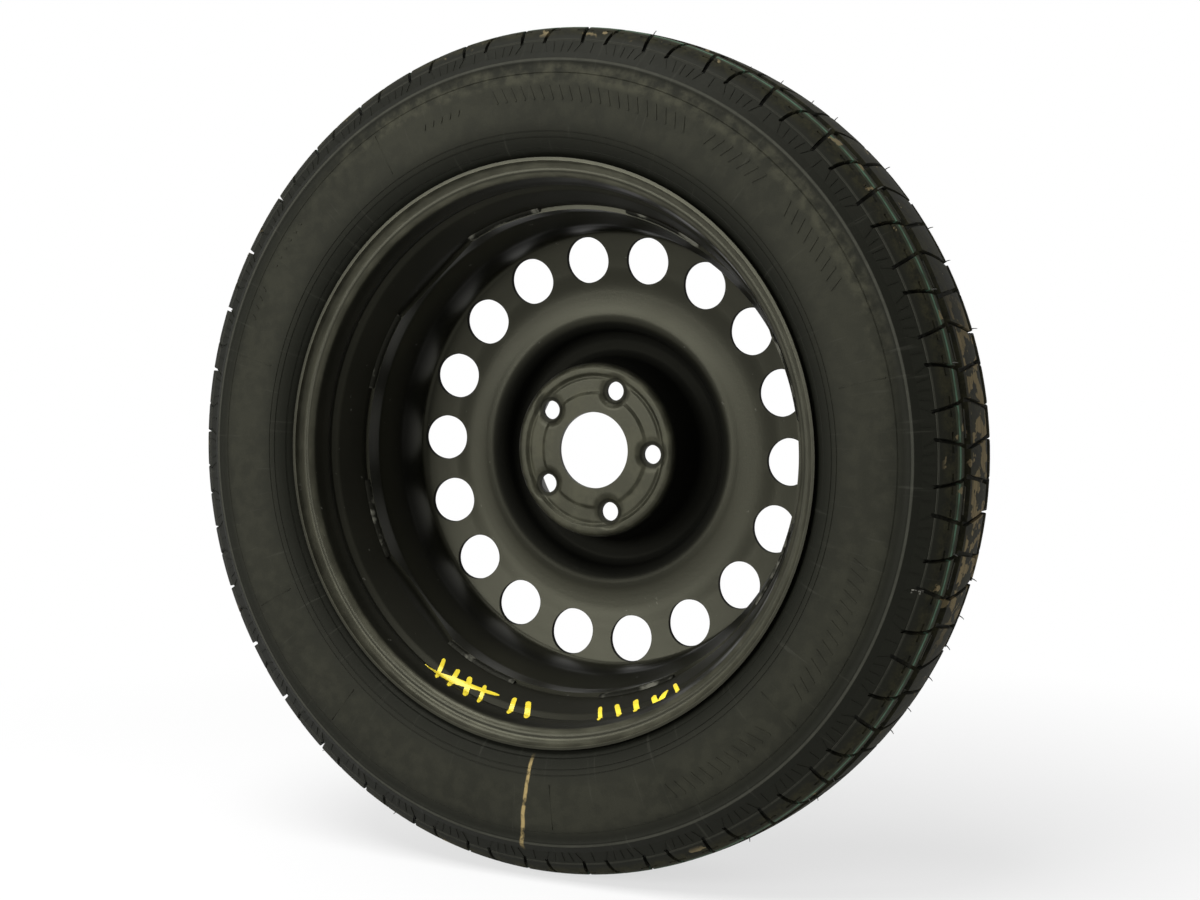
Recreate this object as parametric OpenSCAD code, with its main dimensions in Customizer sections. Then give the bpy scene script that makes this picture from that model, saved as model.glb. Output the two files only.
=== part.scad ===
// Space saver spare wheel: a pressed steel disc welded into a rolled steel rim
// band, with a narrow tubeless tyre and a rubber snap-in valve.
// The wheel stands upright. Its axis is Y, the inboard side faces -Y, and the
// origin is the centre of the face that the car's hub touches.

/* [Rim band] */
// Half of the width between the flanges
rim_half_w = 50.8; // [48:0.1:56]
// Radius of the bead seat at the flange
seat_r = 218.3; // [216:0.1:222]
// Width of each bead seat
seat_w = 12; // [11:0.5:14]
// Height of the flange above the bead seat
flange_h = 17.5; // [15:0.5:20]
// Outer radius of the flange's curl
curl_r = 9.5; // [7:0.5:11]
// Height of the safety hump above the bead seat
hump_h = 0.7; // [0.3:0.1:1.5]
// Thickness of the rim's steel
rim_sheet = 2.5; // [2:0.1:3.2]
// Depth of the drop centre's inner side, where the disc fits, below the bead seat
well_drop = 14.1; // [12.3:0.1:16]
// Where the drop centre ends, inboard of the rim's centre plane
well_in = 13; // [8:1:18]
// Where the drop centre ends, outboard of the rim's centre plane
well_out = 22; // [19:1:24]
// Distance of the rim's centre plane inboard of the hub face
rim_offset = 45; // [40:0.5:50]

/* [Pressed disc] */
// Thickness of the disc's steel
disc_sheet = 3.6; // [3:0.1:4.2]
// Radius of the centre bore
bore_r = 32.55; // [28:0.05:36]
// Outer radius of the flat inner land round the bore
land_r = 47.5; // [45:0.5:48.5]
// Outer radius of the hub pad
pad_r = 73.9; // [72:0.1:76]
// Depth of the panel between the bolt holes
panel_drop = 1.6; // [0.8:0.1:2]
// Depth of the ring groove round the panel
groove_drop = 2.6; // [2:0.1:3]
// Part of the way from the hub pad to the vents at which the moat's floor starts
moat_in_part = 0.1; // [0.08:0.005:0.12]
// Part of the way from the hub pad to the vents at which the moat's floor ends
moat_out_part = 0.375; // [0.35:0.005:0.4]
// Depth of the moat below the hub face
moat_depth = 48; // [44:0.5:52]
// Part of the way from the hub pad to the vents at which the crest starts
crest_part = 0.44; // [0.42:0.005:0.46]
// Depth of the crest below the hub face
crest_depth = 24.5; // [22:0.5:28]
// Depth of the vent ring at its inner side
vent_in_depth = 34.9; // [31:0.1:38]
// Depth of the vent ring at its outer side
vent_out_depth = 26.6; // [24:0.1:30]
// Distance of the skirt's foot inside its fitted edge
skirt_step = 12.3; // [10.5:0.1:13]
// Height of the skirt's edge above the hub face
skirt_top = 42.5; // [38:0.5:46]
// Height of the part of the skirt that lies against the rim
skirt_fit_h = 16; // [12:1:18]

/* [Vent holes] */
// Number of round vent holes
vent_count = 18; // [12:1:20]
// Distance of the circle of vent hole centres inside the skirt's foot
vent_inset = 22.8; // [21.5:0.1:24.5]
// Radius of each vent hole
vent_r = 20.4; // [14:0.1:21]
// Angle of the first vent hole
vent_phase = 97.3; // [90:0.1:110]

/* [Bolt holes] */
// Number of bolt holes
bolt_count = 5; // [4:1:5]
// Radius of the circle of bolt hole centres
bolt_circle_r = 54; // [53:0.5:55]
// Radius of each bolt hole
bolt_r = 8; // [7:0.1:8.5]
// Angle of the first bolt hole
bolt_phase = 69.1; // [60:0.1:80]
// Depth of the dimple round each hole on the hub side
dimple_drop = 2.6; // [2:0.1:3]
// Radius of the dimple's flat floor
dimple_r = 10.2; // [9.5:0.1:11]
// Radius of the dimple's mouth
dimple_mouth_r = 16; // [14:0.5:17]
// Thickness of steel left round each hole
bolt_boss_t = 4.6; // [4:0.1:5.5]

/* [Skirt scallops and welds] */
// Number of scallops in the skirt's edge, with a pair of welds between two
scallop_count = 4; // [3:1:4]
// Angle of the first scallop
scallop_phase = 41.5; // [30:0.5:60]
// Depth of each scallop
scallop_depth = 12; // [6:1:14]
// Radius of each scallop's curve
scallop_r = 100; // [60:5:110]
// Angle that each weld bead covers
weld_span = 20; // [10:1:21]
// Angle of each weld's centre from the middle between two scallops
weld_spread = 21.5; // [20:0.5:21.5]
// Leg of the weld bead along the rim
weld_leg = 5; // [3:0.5:7]

/* [Tyre] */
// Outer radius of the tyre
tyre_r = 343.3; // [338:0.5:350]
// Half of the tyre's section width
section_half_w = 69.5; // [68:0.5:73]
// Radius of curvature across the tread
crown_curve = 280; // [220:10:360]
// Half width at which the tread's crown meets the shoulder's tangent
shoulder_w = 52.1; // [50:0.1:55]
// Radius of the rounded shoulder
shoulder_r = 24; // [18:1:26]
// Drop from the tread to the ridge at the top of the sidewall
ridge_drop = 31.6; // [29:0.1:34]
// Distance of that ridge from the centre plane
ridge_w = 66.6; // [65:0.1:67.5]
// Thickness of the rubber and casing below the tread
casing_t = 10.8; // [10:0.1:13]
// Thickness of the sidewall
sidewall_t = 4.8; // [4:0.1:6]
// Gap between the beads and the rim
bead_gap = 0.4; // [0.3:0.05:0.6]

/* [Tread] */
// Number of pattern pitches round the tyre
pitch_count = 38; // [30:1:44]
// Angle of the first groove
tread_phase = -1.6; // [-5:0.1:5]
// Distance of each ring groove from the centre plane
ring_groove_d = 30; // [26:0.5:32]
// Width of each ring groove
ring_groove_w = 12; // [8:0.5:13]
// Depth of the ring grooves
tread_depth = 6; // [4:0.5:6.5]
// Width of the shoulder grooves
cross_groove_w = 4.2; // [3:0.1:5]
// Lean of the shoulder grooves
shoulder_lean = 14; // [8:1:18]
// Width of the slots across the centre rib
centre_slot_w = 3.4; // [2.5:0.1:4]
// Depth of the slots across the centre rib
centre_slot_depth = 4.2; // [3:0.1:5]
// Part of a pitch between the two grooves of a pair
pair_part = 0.36; // [0.3:0.01:0.4]

/* [Valve] */
// Angle of the valve on the wheel
valve_phase = 90; // [0:5:355]
// Tilt of the valve from the wheel's axis
valve_tilt = 24; // [22:1:26]
// Radius of the valve hole in the rim
valve_hole_r = 4.4; // [4.2:0.1:4.6]
// Distance of the hole's centre from the foot of its slope
valve_hole_up = 6.4; // [6.3:0.1:6.8]
// Length of the rubber stem outside the rim
stem_l = 14.5; // [13:0.5:16]
// Length of the brass sleeve outside the rim
sleeve_l = 25; // [24:0.5:26]
// Radius of the sleeve's cap thread
thread_r = 3.85; // [3.7:0.05:3.95]
// Radius of the sleeve's bore
core_bore_r = 2.1; // [2:0.05:2.3]
// Outer radius of the cap
cap_r = 4.9; // [4.7:0.1:5.2]
// Clearance between the cap and the thread
cap_gap = 0.15; // [0.1:0.05:0.25]
// Radius of the core's pin
pin_r = 0.45; // [0.4:0.05:0.5]
// Number of turns in the core's spring
spring_turns = 6; // [4:1:7]

/* [Hidden] */
$fn = 96;
steel_black = [0.09, 0.09, 0.08];
rubber_black = [0.13, 0.13, 0.12];
brass = [0.72, 0.56, 0.28];

// Degrees of turn that one straight piece of a rounded corner covers
arc_step = 18;

// Rim measures worked out from the sizes above
flange_r = seat_r + flange_h;
well_r = seat_r - well_drop;
well_outer_r = well_r + rim_sheet;
hump_r = seat_r + hump_h;
seat_drop = seat_w * tan(5);
lip_d = rim_half_w + curl_r + 0.5;
// Round corner between the bead seat and the flange
seat_fillet = 4;
facet_run = (hump_r - well_outer_r) * tan(valve_tilt);
skirt_in_r = well_r - disc_sheet;
corner_r = skirt_in_r - skirt_step;
vent_circle_r = corner_r - vent_inset;
vent_in_r = vent_circle_r - vent_r + 2;
panel_w = vent_in_r - pad_r;
moat_rise = moat_depth - crest_depth;
vent_cut_stop = 6;
bolt_wall = 1.8;
seat_cone = 30;
scallop_step = 360 / scallop_count;

// Tread measures
pitch_a = 360 / pitch_count;
pair_a = pitch_a * pair_part;
slot_turn = (pitch_a - 2 * pair_a) / 2;
slot_lean = atan((tyre_r * PI / 180 * slot_turn) / (2 * ring_groove_d));
too_far = 20;

// Valve measures, along the valve's own axis from the rim's outboard surface
stem_r = 5.1;
button_r = 6.2;
barrel_start = 14;
barrel_end = sleeve_l - 0.8;
barrel_shoulder = 15;
pin_tip = sleeve_l - 0.4;
collar_w = 22.3;
plunger_w = 9.4;
spring_wire_r = 0.1;
spring_r = pin_r + 0.25;
cap_seal_t = 0.6;

// Vector helpers
function unit(v) = v / norm(v);
function turned(v, a) = [v.x * cos(a) - v.y * sin(a), v.x * sin(a) + v.y * cos(a)];
function cross_2d(a, b) = a.x * b.y - a.y * b.x;
function flat(list) = [for (part = list) for (p = part) p];
function backwards(list) = [for (i = [len(list) - 1 : -1 : 0]) list[i]];

// The arc that rounds corner p between its neighbours a and b
function corner(a, p, b) =
  let (
    u = unit([a.x - p.x, a.y - p.y]),
    v = unit([b.x - p.x, b.y - p.y]),
    turn = 180 - acos(max(-1, min(1, u * v)))
  )
  (p[2] == 0 || turn < 1) ? [[p.x, p.y]] :
  let (
    reach = p[2] * tan(turn / 2),
    start = [p.x, p.y] + u * reach,
    side = cross_2d(u, v) > 0 ? -1 : 1,
    centre = start + turned(u, 90 * (cross_2d(u, v) > 0 ? 1 : -1)) * p[2],
    n = max(1, round(turn / arc_step))
  )
  [for (i = [0 : n]) centre + turned(start - centre, side * turn * i / n)];

// A line of points [r, z, rounding] with each corner rounded
function rounded(pts) = flat([
  for (i = [0 : len(pts) - 1])
    (i == 0 || i == len(pts) - 1)
      ? [[pts[i].x, pts[i].y]]
      : corner(pts[i - 1], pts[i], pts[i + 1])
]);

// The line moved to its right by t, which is how a pressed sheet has two faces
function right_of(a, b) = let (d = unit(b - a)) [d.y, -d.x];
function moved(path, t) = [
  for (i = [0 : len(path) - 1])
    let (
      n0 = i == 0 ? right_of(path[0], path[1]) : right_of(path[i - 1], path[i]),
      n1 = i == len(path) - 1 ? n0 : right_of(path[i], path[i + 1]),
      m = unit(n0 + n1)
    )
    path[i] + m * t / (m * n0)
];
function sheet(path, t) = concat(path, backwards(moved(path, t)));

// Moves pieces drawn about the Z axis, inboard up, to the upright wheel
module upright() rotate([90, 0, 0]) children();

// Places a piece drawn along Z on the valve's axis, from the rim outwards
valve_at_r = well_outer_r + valve_hole_up * cos(valve_tilt) - rim_sheet * sin(valve_tilt);
valve_at_z = rim_offset - well_out - valve_hole_up * sin(valve_tilt)
  - rim_sheet * cos(valve_tilt);
module on_valve_axis()
  upright()
    rotate([0, 0, valve_phase])
      translate([valve_at_r, 0, valve_at_z])
        rotate([0, 180 + valve_tilt, 0])
          children();

// The rim's tyre side from the inboard lip to the outboard one, as [r, z, round]
rim_path = rounded([
  [flange_r, lip_d, 0],
  [flange_r, rim_half_w, curl_r],
  [seat_r, rim_half_w, seat_fillet],
  [seat_r - seat_drop, rim_half_w - seat_w, 1.2],
  [hump_r, rim_half_w - seat_w - 2, rim_sheet + 0.5],
  [hump_r, rim_half_w - seat_w - 5.8, rim_sheet + 0.5],
  [hump_r - 4.5, rim_half_w - seat_w - 8.2, 2],
  [well_outer_r, well_in, 8],
  [well_outer_r, -well_out, 1.2],
  [hump_r, -well_out - facet_run, rim_sheet + 0.5],
  [hump_r, -(rim_half_w - seat_w - 2), rim_sheet + 0.5],
  [seat_r - seat_drop, -(rim_half_w - seat_w), 1.2],
  [seat_r, -rim_half_w, seat_fillet],
  [flange_r, -rim_half_w, curl_r],
  [flange_r, -lip_d, 0]
]);

module rim_band() color(steel_black)
  difference() {
    upright()
      translate([0, 0, rim_offset])
        rotate_extrude() polygon(sheet(rim_path, rim_sheet));
    on_valve_axis()
      translate([0, 0, -2 * rim_sheet]) cylinder(r = valve_hole_r, h = 2.8 * rim_sheet);
  }

// The disc's hub side from the bore to the skirt's edge, as [r, z, round]
disc_form = [
  [pad_r, 0, disc_sheet + 2],
  [pad_r + moat_in_part * panel_w, -moat_depth, 0.36 * moat_rise],
  [pad_r + moat_out_part * panel_w, -moat_depth, 0.36 * moat_rise],
  [pad_r + crest_part * panel_w, -crest_depth, 0.6 * moat_rise],
  [vent_in_r, -vent_in_depth, 0.19 * panel_w],
  [corner_r, -vent_out_depth, 5],
  [corner_r + 2, skirt_top - skirt_fit_h - 19, 14],
  [skirt_in_r, skirt_top - skirt_fit_h, 6],
  [skirt_in_r, skirt_top, 0]
];
disc_plain = rounded(concat([[bore_r, 0, 0]], disc_form));
disc_pressed = rounded(concat(
  [
    [bore_r, 0, 0],
    [land_r, 0, 1],
    [land_r + 2, -panel_drop, 1],
    [pad_r - 13.4, -panel_drop, 1],
    [pad_r - 10.7, -groove_drop, 1],
    [pad_r - 8, 0, 0.6]
  ],
  disc_form
));
disc_section = concat(disc_pressed, backwards(moved(disc_plain, disc_sheet)));

module bolt_positions()
  for (i = [0 : bolt_count - 1])
    rotate([0, 0, bolt_phase + i * 360 / bolt_count]) translate([bolt_circle_r, 0, 0]) children();

module disc_blank()
  difference() {
    union() {
      rotate_extrude() polygon(disc_section);
      bolt_positions()
        translate([0, 0, -dimple_drop - bolt_boss_t])
          cylinder(r1 = 12.2, r2 = 14.5, h = bolt_boss_t);
    }
    bolt_positions() {
      translate([0, 0, -dimple_drop])
        cylinder(r1 = dimple_r, r2 = dimple_mouth_r, h = dimple_drop);
      translate([0, 0, -too_far]) cylinder(r = bolt_r, h = too_far);
      translate([0, 0, -dimple_drop - bolt_boss_t])
        cylinder(
          r1 = bolt_r + (bolt_boss_t - bolt_wall) * tan(seat_cone),
          r2 = bolt_r,
          h = bolt_boss_t - bolt_wall
        );
    }
    translate([0, 0, -too_far]) cylinder(r = bore_r, h = 2 * too_far);
  }

module wheel_disc() color(steel_black)
  upright()
    difference() {
      disc_blank();
      for (i = [0 : vent_count - 1])
        rotate([0, 0, vent_phase - i * 360 / vent_count])
          translate([vent_circle_r, 0, -vent_in_depth - too_far])
            cylinder(r = vent_r, h = vent_in_depth + too_far - vent_cut_stop);
      for (i = [0 : scallop_count - 1])
        rotate([0, 0, scallop_phase + i * scallop_step])
          translate([skirt_in_r - too_far / 2, 0, skirt_top - scallop_depth + scallop_r])
            rotate([0, 90, 0]) cylinder(r = scallop_r, h = too_far);
    }

// A fillet bead along the skirt's edge, in the corner with the rim
module weld_bead(i) color(steel_black)
  let (
    gap = floor((i - 1) / 2),
    side = i % 2 == 1 ? -1 : 1,
    middle = scallop_phase + (gap + 0.5) * scallop_step + side * weld_spread
  )
  upright()
    rotate([0, 0, middle - weld_span / 2])
      translate([0, 0, skirt_top])
        rotate_extrude(angle = weld_span)
          polygon([
            [well_r, 0],
            [well_r, weld_leg],
            [well_r - 0.22 * disc_sheet, 0.92 * weld_leg],
            [well_r - 0.62 * disc_sheet, 0.62 * weld_leg],
            [well_r - 0.88 * disc_sheet, 0.28 * weld_leg],
            [well_r - 0.96 * disc_sheet, 0]
          ]);

// Half of the tyre's outline, as [r, distance from the centre plane]
function crown_at(d) = tyre_r - crown_curve + sqrt(crown_curve * crown_curve - d * d);
shoulder_top = crown_at(shoulder_w - 14) - 1.9;

// Radius at a part of the way up the sidewall, from above the flange to the ridge
wall_foot = flange_r + 5;
wall_head = tyre_r - ridge_drop - 4;
function up_wall(part) = wall_foot + part * (wall_head - wall_foot);
tyre_outside = concat(
  [for (i = [0 : 2]) [crown_at(12.5 * i), 12.5 * i]],
  rounded([
    [crown_at(shoulder_w - 14), shoulder_w - 14, 0],
    [shoulder_top, shoulder_w, shoulder_r],
    [tyre_r - ridge_drop + 5.5, ridge_w - 3.6, 2.5],
    [tyre_r - ridge_drop + 0.8, ridge_w, 1],
    [tyre_r - ridge_drop - 2.2, ridge_w + 0.4, 0]
  ]),
  [
    [wall_head, ridge_w - 0.1],
    [up_wall(0.83), section_half_w - 0.9],
    [up_wall(0.605), section_half_w],
    [up_wall(0.351), section_half_w],
    [up_wall(0.202), section_half_w - 1.6],
    [up_wall(0.082), section_half_w - 5],
    [up_wall(0), section_half_w - 9.2],
    [flange_r + 0.6, rim_half_w + 4.6]
  ],
  // Round the flange's curl, then down the seat's inside corner
  [for (a = [-45 : -15 : -90])
    [flange_r - curl_r + (curl_r + bead_gap) * cos(a), rim_half_w + curl_r + (curl_r + bead_gap) * sin(a)]],
  [
    [seat_r + seat_fillet, rim_half_w - bead_gap],
    [seat_r + 0.4 * seat_fillet, rim_half_w - 0.4 * seat_fillet],
    [seat_r + bead_gap, rim_half_w - seat_fillet],
    [seat_r - seat_drop + 0.1 + bead_gap, rim_half_w - seat_w + 0.6]
  ]
);
tyre_inside = [
  [seat_r + 4, rim_half_w - seat_w + 0.9],
  [flange_r - 2.5, rim_half_w - 6],
  [up_wall(0.067), rim_half_w + 3.4],
  [up_wall(0.262), section_half_w - sidewall_t - 1],
  [up_wall(0.65), section_half_w - sidewall_t],
  [tyre_r - 41, ridge_w - sidewall_t],
  [tyre_r - 29, ridge_w - 12],
  [tyre_r - 19, ridge_w - 24],
  [tyre_r - casing_t - 1.6, 24],
  [tyre_r - casing_t, 9]
];
tyre_half = concat(tyre_outside, tyre_inside);
tyre_outline = concat(
  tyre_half,
  backwards([for (p = tyre_half) if (p.y > 0) [p.x, -p.y]])
);

// A shoulder groove, from the ring groove outwards, cut to its curved floor
module shoulder_groove()
  translate([0, cross_groove_w / 2, 0])
    rotate([90, 0, 0])
      linear_extrude(cross_groove_w)
        polygon([
          [crown_at(ring_groove_d) - tread_depth + 0.8, 0],
          [crown_at(ring_groove_d) - tread_depth - 0.3, shoulder_w - ring_groove_d - 13.5],
          [shoulder_top - 6.8, shoulder_w - ring_groove_d - 4.5],
          [shoulder_top - 12.4, shoulder_w - ring_groove_d + 2.2],
          [shoulder_top - 15, shoulder_w - ring_groove_d + 8.5],
          [tyre_r + too_far, shoulder_w - ring_groove_d + 8.5],
          [tyre_r + too_far, 0]
        ]);

// The pairs of grooves in one shoulder
module shoulder_pattern()
  for (i = [0 : pitch_count - 1], k = [0, 1])
    rotate([0, 0, i * pitch_a + k * pair_a])
      translate([0, 0, ring_groove_d])
        rotate([k == 0 ? shoulder_lean : -shoulder_lean, 0, 0]) shoulder_groove();

// The slots that join the two shoulders' pairs across the centre rib
module centre_pattern()
  for (i = [0 : pitch_count - 1], k = [0, 1])
    rotate([0, 0, i * pitch_a + (k == 0 ? -slot_turn / 2 : pair_a + slot_turn / 2)])
      rotate([k == 0 ? -slot_lean : slot_lean, 0, 0])
        translate([tyre_r - centre_slot_depth, -centre_slot_w / 2, -ring_groove_d])
          cube([too_far, centre_slot_w, 2 * ring_groove_d]);

module ring_groove()
  rotate_extrude()
    translate([crown_at(ring_groove_d) - tread_depth, ring_groove_d - ring_groove_w / 2])
      square([too_far, ring_groove_w]);

module tyre() color(rubber_black)
  upright()
    translate([0, 0, rim_offset])
      rotate([0, 0, tread_phase])
        difference() {
          rotate_extrude() polygon(tyre_outline);
          ring_groove();
          mirror([0, 0, 1]) ring_groove();
          shoulder_pattern();
          rotate([0, 0, pair_a + slot_turn]) mirror([0, 0, 1]) shoulder_pattern();
          centre_pattern();
        }

// Valve: the rubber stem that snaps into the rim
module valve_stem() color(rubber_black)
  on_valve_axis()
    difference() {
      rotate_extrude()
        polygon([
          [0, -rim_sheet - 5],
          [button_r - 1, -rim_sheet - 5],
          [button_r, -rim_sheet - 3.6],
          [button_r - 0.1, -rim_sheet - 0.1],
          [valve_hole_r - 0.1, -rim_sheet - 0.1],
          [valve_hole_r - 0.1, 0.2],
          [stem_r, 1.2],
          [stem_r, 3.6],
          [stem_r - 0.5, 6],
          [stem_r - 0.6, stem_l - 1],
          [stem_r - 1, stem_l],
          [0, stem_l]
        ]);
      translate([0, 0, -too_far]) cylinder(r = core_bore_r + 0.6, h = 3 * too_far);
    }

// The brass sleeve inside the stem, with the cap's thread at its end
module valve_sleeve() color(brass)
  on_valve_axis()
    difference() {
      union() {
        translate([0, 0, -rim_sheet - 4])
          cylinder(r = core_bore_r + 0.6, h = sleeve_l + rim_sheet + 4);
        translate([0, 0, stem_l]) cylinder(r = thread_r, h = sleeve_l - stem_l - 0.5);
        translate([0, 0, sleeve_l - 0.5])
          cylinder(r1 = thread_r, r2 = thread_r - 0.4, h = 0.5);
      }
      translate([0, 0, -too_far]) cylinder(r = core_bore_r - 0.6, h = 3 * too_far);
      translate([0, 0, barrel_start - 2.6]) cylinder(r = core_bore_r, h = too_far);
    }

module valve_core_barrel() color(brass)
  on_valve_axis()
    difference() {
      union() {
        translate([0, 0, barrel_start])
          cylinder(r = core_bore_r - 0.05, h = barrel_end - barrel_start);
        translate([0, 0, plunger_w + 1.2])
          cylinder(r = core_bore_r - 0.9, h = barrel_start - plunger_w - 1.2);
      }
      translate([0, 0, plunger_w]) cylinder(r = pin_r + 0.2, h = too_far);
      translate([0, 0, barrel_shoulder]) cylinder(r = spring_r + 0.3, h = too_far);
    }

module valve_core_seal() color("white")
  on_valve_axis()
    difference() {
      translate([0, 0, barrel_start - 2]) cylinder(r = core_bore_r - 0.05, h = 2);
      translate([0, 0, barrel_start - 3]) cylinder(r = core_bore_r - 0.85, h = 4);
    }

module valve_core_pin() color(brass)
  on_valve_axis() {
    translate([0, 0, plunger_w - 1]) cylinder(r = pin_r, h = pin_tip - plunger_w + 1);
    translate([0, 0, plunger_w]) cylinder(r = core_bore_r - 0.9, h = 1);
    translate([0, 0, collar_w]) cylinder(r = spring_r + 0.12, h = 0.6);
  }

// A coil spring swept as one closed skin of rings
spring_sides = 6;
spring_rings = spring_turns * 12;
spring_foot = barrel_shoulder + spring_wire_r + 0.05;
spring_l = collar_w - barrel_shoulder - 2 * spring_wire_r - 0.1;
function spring_point(i, k) =
  let (
    a = 30 * i,
    b = 360 * k / spring_sides,
    r = spring_r + spring_wire_r * cos(b)
  )
  [r * cos(a), r * sin(a), spring_foot + spring_l * i / spring_rings + spring_wire_r * sin(b)];

module valve_core_spring() color("silver")
  on_valve_axis()
    polyhedron(
      points = [
        for (i = [0 : spring_rings], k = [0 : spring_sides - 1]) spring_point(i, k)
      ],
      faces = concat(
        [[for (k = [0 : spring_sides - 1]) k]],
        [
          for (i = [0 : spring_rings - 1], k = [0 : spring_sides - 1])
            let (
              a = i * spring_sides + k,
              b = i * spring_sides + (k + 1) % spring_sides
            )
            [a, a + spring_sides, b + spring_sides, b]
        ],
        [[
          for (k = [spring_sides - 1 : -1 : 0]) spring_rings * spring_sides + k
        ]]
      )
    );

module valve_cap() color(rubber_black)
  on_valve_axis()
    difference() {
      translate([0, 0, stem_l + 1.5])
        rotate_extrude()
          polygon(concat(
            [[0, 0]],
            rounded([
              [cap_r - 0.3, 0, 0],
              [cap_r, 0.5, 0],
              [cap_r - 0.3, sleeve_l - stem_l + 1, 1],
              [0, sleeve_l - stem_l + 1, 0]
            ])
          ));
      translate([0, 0, stem_l])
        cylinder(r = thread_r + cap_gap, h = sleeve_l - stem_l + 0.3 + cap_seal_t);
    }

module valve_cap_seal() color("dimgray")
  on_valve_axis()
    difference() {
      translate([0, 0, sleeve_l + 0.25]) cylinder(r = thread_r - 0.1, h = cap_seal_t);
      translate([0, 0, sleeve_l]) cylinder(r = 1.4, h = 2);
    }

tyre();
rim_band();
wheel_disc();
weld_bead(1);  // weld_bead_1
weld_bead(2);  // weld_bead_2
weld_bead(3);  // weld_bead_3
weld_bead(4);  // weld_bead_4
weld_bead(5);  // weld_bead_5
weld_bead(6);  // weld_bead_6
weld_bead(7);  // weld_bead_7
weld_bead(8);  // weld_bead_8
valve_stem();
valve_sleeve();
valve_core_barrel();
valve_core_seal();
valve_core_pin();
valve_core_spring();
valve_cap();
valve_cap_seal();
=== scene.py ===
"""Space saver spare wheel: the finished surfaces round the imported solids.

The tables below are in millimetres on the wheel's own drawing: r is the distance
from the axis, depth is the height above the hub face towards the inboard side, and
an angle turns from +X towards +Z. d is the distance from the tyre's centre plane.
"""
import math
import random

import bpy
from mathutils import Matrix, Vector


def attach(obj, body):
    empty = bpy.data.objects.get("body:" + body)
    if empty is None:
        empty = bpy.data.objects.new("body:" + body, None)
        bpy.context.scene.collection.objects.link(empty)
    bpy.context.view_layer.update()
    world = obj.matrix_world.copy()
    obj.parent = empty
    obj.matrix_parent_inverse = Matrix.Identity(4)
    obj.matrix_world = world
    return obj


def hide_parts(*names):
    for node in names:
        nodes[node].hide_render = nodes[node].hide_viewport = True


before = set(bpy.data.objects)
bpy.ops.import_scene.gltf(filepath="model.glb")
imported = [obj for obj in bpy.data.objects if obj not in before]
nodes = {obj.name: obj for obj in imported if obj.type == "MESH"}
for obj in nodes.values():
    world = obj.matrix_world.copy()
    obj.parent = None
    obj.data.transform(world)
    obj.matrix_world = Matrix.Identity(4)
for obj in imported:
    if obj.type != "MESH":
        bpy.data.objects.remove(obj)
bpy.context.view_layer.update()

MM = 0.001
AXIS = (0.0, 1.0, 0.0)
TYRE_PLANE = 45.0
OUTBOARD_MIRROR = Matrix.Translation((0, -2 * TYRE_PLANE * MM, 0)) @ Matrix.Scale(-1, 4, AXIS)

# Tyre and tread sizes
TYRE_R = 343.3
CROWN_CURVE = 280.0
GROOVE_D = 30.0
GROOVE_HALF_W = 6.0
TREAD_DEPTH = 6.0
WALL_D = 68.75
PITCHES = 38
PITCH = 360 / PITCHES
PAIR = 0.36 * PITCH
SLOT_TURN = (PITCH - 2 * PAIR) / 2
SLOT_LEAN = math.degrees(math.atan(math.radians(SLOT_TURN) * TYRE_R / (2 * GROOVE_D)))
TREAD_PHASE = -1.6
SHOULDER_LEAN = 14.0
STEPS_PER_PITCH = 6

# Rim sizes
SEAT_R = 218.3
RIM_HALF_W = 50.8
SEAT_W = 12.0
FLANGE_R = SEAT_R + 17.5
RIM_SHEET = 2.5
WELL_OUTER_R = 206.7
HUMP_R = SEAT_R + 0.7
SEAT_DROP = SEAT_W * math.tan(math.radians(5))

# Disc sizes
DISC_SHEET = 3.6
SKIRT_TOP = 42.5
SKIRT_IN_R = 200.6
VENTS = 18
VENT_R = 19.7
VENT_CIRCLE_R = 165.5
VENT_PHASE = 97.3
WELL_R = 204.2
BOLTS = [69.1 + 72 * i for i in range(5)]
BOLT_CIRCLE = 54.0
BOLT_HOLE_R = 8.0
DIMPLE_R = 17.0
SCALLOP_PHASE = 41.5
SCALLOP_R = 100.0
SCALLOP_DEPTH = 12.0

# Valve sizes
VALVE_TILT = 24.0
VALVE_HOLE_R = 4.4
THREAD_R = 3.85


# Drawing aids


def on_wheel(r, angle, depth):
    """The row's point for a point of the drawing."""
    a = math.radians(angle)
    return Vector((r * math.cos(a), -depth, r * math.sin(a))) * MM


def turn(angle):
    """The turn about the wheel's axis, from +X towards +Z."""
    return Matrix.Rotation(-math.radians(angle), 4, "Y")


def corner(a, p, b, arc_step):
    """The arc that rounds corner p = (x, y, radius) between its neighbours."""
    p0 = Vector(p[:2])
    if len(p) < 3 or p[2] == 0:
        return [p0]
    u = (Vector(a[:2]) - p0).normalized()
    v = (Vector(b[:2]) - p0).normalized()
    bend = math.pi - math.acos(max(-1.0, min(1.0, u.dot(v))))
    if bend < 0.01:
        return [p0]
    reach = p[2] * math.tan(bend / 2)
    left = u.x * v.y - u.y * v.x > 0
    side = Vector((-u.y, u.x)) if left else Vector((u.y, -u.x))
    centre = p0 + u * reach + side * p[2]
    arm = p0 + u * reach - centre
    n = max(1, round(math.degrees(bend) / arc_step))
    points = []
    for i in range(n + 1):
        t = (-1 if left else 1) * bend * i / n
        points.append(centre + Vector((arm.x * math.cos(t) - arm.y * math.sin(t),
                                       arm.x * math.sin(t) + arm.y * math.cos(t))))
    return points


def rounded(points, arc_step):
    """The line of (x, y, radius) points with its corners rounded."""
    path = [Vector(points[0][:2])]
    for before, point, after in zip(points, points[1:], points[2:]):
        path += corner(before, point, after, arc_step)
    return path + [Vector(points[-1][:2])]


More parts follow.
